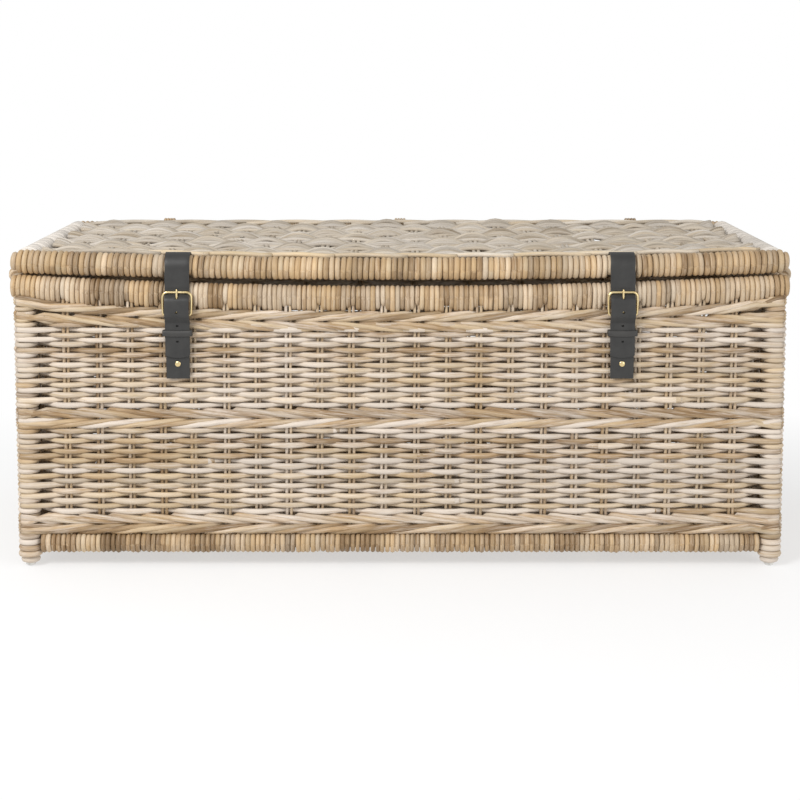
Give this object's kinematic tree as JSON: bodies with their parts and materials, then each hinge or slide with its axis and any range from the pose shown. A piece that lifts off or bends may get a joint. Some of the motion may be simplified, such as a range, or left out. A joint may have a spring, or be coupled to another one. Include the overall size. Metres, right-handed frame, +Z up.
{
  "type": "wicker storage trunk",
  "caption": "Long low woven rattan storage trunk with a flat hinged lid, wrapped rails and posts, leather buckle straps on the front and a wrapped carry handle on each end.",
  "frame": {"origin": "on the ground under the centre of the whole object's bounding box", "axes": "+X along the length, to the right seen from the front; +Y from the strap side to the hinge side; +Z up"},
  "size_m": [1.2908, 0.5196, 0.5044],
  "materials": {
    "rattan_wrap": "dry, matt, golden tan natural rattan core with pale washed strands",
    "rattan_weave": "dry, matt, washed natural rattan core in mixed tan, golden and whitish strands",
    "rattan_lid": "dry, matt, greyer washed rattan core",
    "leather": "near-black matt leather with paler raw cut edges",
    "brass": "polished pale brass",
    "bearer_wood": "bare rattan pole",
    "glide_plastic": "off-white nylon"
  },
  "bodies": {
    "trunk": {"post_front_left": "rattan_wrap", "post_front_right": "rattan_wrap", "post_rear_left": "rattan_wrap", "post_rear_right": "rattan_wrap", "foot_glide_front_left": "glide_plastic", "foot_glide_front_right": "glide_plastic", "foot_glide_rear_left": "glide_plastic", "foot_glide_rear_right": "glide_plastic", "bottom_rail_front": "rattan_wrap", "bottom_rail_rear": "rattan_wrap", "bottom_rail_left": "rattan_wrap", "bottom_rail_right": "rattan_wrap", "rim_rail_front": "rattan_wrap", "rim_rail_rear": "rattan_wrap", "rim_rail_left": "rattan_wrap", "rim_rail_right": "rattan_wrap", "wall_front": "rattan_weave", "wall_rear": "rattan_weave", "wall_left": "rattan_weave", "wall_right": "rattan_weave", "base_panel": "rattan_weave", "base_bearer_left": "bearer_wood", "base_bearer_middle": "bearer_wood", "base_bearer_right": "bearer_wood", "hinge_loop_left": "rattan_wrap", "hinge_loop_middle": "rattan_wrap", "hinge_loop_right": "rattan_wrap", "handle_left": "rattan_wrap", "handle_right": "rattan_wrap", "handle_binding_left_front": "rattan_wrap", "handle_binding_left_rear": "rattan_wrap", "handle_binding_right_front": "rattan_wrap", "handle_binding_right_rear": "rattan_wrap", "chape_left": "leather", "chape_right": "leather", "strap_rivet_left": "brass", "strap_rivet_right": "brass", "rivet_washer_left": "brass", "rivet_washer_right": "brass"},
    "lid": {"lid_rail_front": "rattan_wrap", "lid_rail_rear": "rattan_wrap", "lid_rail_left": "rattan_wrap", "lid_rail_right": "rattan_wrap", "lid_panel": "rattan_lid", "lid_brace_left": "bearer_wood", "lid_brace_right": "bearer_wood", "lid_strap_left": "leather", "lid_strap_right": "leather", "lid_strap_rivet_left": "brass", "lid_strap_rivet_right": "brass"},
    "left_strap_bend": {"strap_bend_left": "leather"},
    "left_billet": {"billet_left": "leather"},
    "left_buckle": {"buckle_frame_left": "brass"},
    "left_prong": {"prong_left": "brass"},
    "left_keeper": {"keeper_left": "leather"},
    "right_strap_bend": {"strap_bend_right": "leather"},
    "right_billet": {"billet_right": "leather"},
    "right_buckle": {"buckle_frame_right": "brass"},
    "right_prong": {"prong_right": "brass"},
    "right_keeper": {"keeper_right": "leather"}
  },
  "joints": [
    {"name": "lid_hinge", "type": "hinge", "parent": "trunk", "child": "lid", "pos_m": [0, 0.2369, 0.4815], "axis": [-1, 0, 0], "range_deg": [0, 100]},
    {"name": "left_strap_hang", "type": "hinge", "parent": "lid", "child": "left_strap_bend", "pos_m": [-0.343, -0.2517, 0.453], "axis": [-1, 0, 0], "range_deg": [-100, 0], "deforming": ["strap_bend_left"]},
    {"name": "left_billet_swing", "type": "hinge", "parent": "left_strap_bend", "child": "left_billet", "pos_m": [-0.343, -0.2479, 0.443], "axis": [1, 0, 0], "range_deg": [-110, 0], "deforming": ["billet_left"]},
    {"name": "left_buckle_swing", "type": "hinge", "parent": "trunk", "child": "left_buckle", "pos_m": [-0.343, -0.2517, 0.402], "axis": [1, 0, 0], "range_deg": [0, 150]},
    {"name": "left_prong_swing", "type": "hinge", "parent": "left_buckle", "child": "left_prong", "pos_m": [-0.343, -0.2517, 0.402], "axis": [-1, 0, 0], "range_deg": [-100, 0]},
    {"name": "left_keeper_slide", "type": "slide", "parent": "trunk", "child": "left_keeper", "axis": [0, 0, -1], "range_m": [-0.01, 0.02]},
    {"name": "right_strap_hang", "type": "hinge", "parent": "lid", "child": "right_strap_bend", "pos_m": [0.343, -0.2517, 0.453], "axis": [-1, 0, 0], "range_deg": [-100, 0], "deforming": ["strap_bend_right"]},
    {"name": "right_billet_swing", "type": "hinge", "parent": "right_strap_bend", "child": "right_billet", "pos_m": [0.343, -0.2479, 0.443], "axis": [1, 0, 0], "range_deg": [-110, 0], "deforming": ["billet_right"]},
    {"name": "right_buckle_swing", "type": "hinge", "parent": "trunk", "child": "right_buckle", "pos_m": [0.343, -0.2517, 0.402], "axis": [1, 0, 0], "range_deg": [0, 150]},
    {"name": "right_prong_swing", "type": "hinge", "parent": "right_buckle", "child": "right_prong", "pos_m": [0.343, -0.2517, 0.402], "axis": [-1, 0, 0], "range_deg": [-100, 0]},
    {"name": "right_keeper_slide", "type": "slide", "parent": "trunk", "child": "right_keeper", "axis": [0, 0, -1], "range_m": [-0.01, 0.02]}
  ],
  "couplings": [
    {"joint": "left_strap_hang", "follows": "lid_hinge", "ratio": -1},
    {"joint": "right_strap_hang", "follows": "lid_hinge", "ratio": -1}
  ]
}
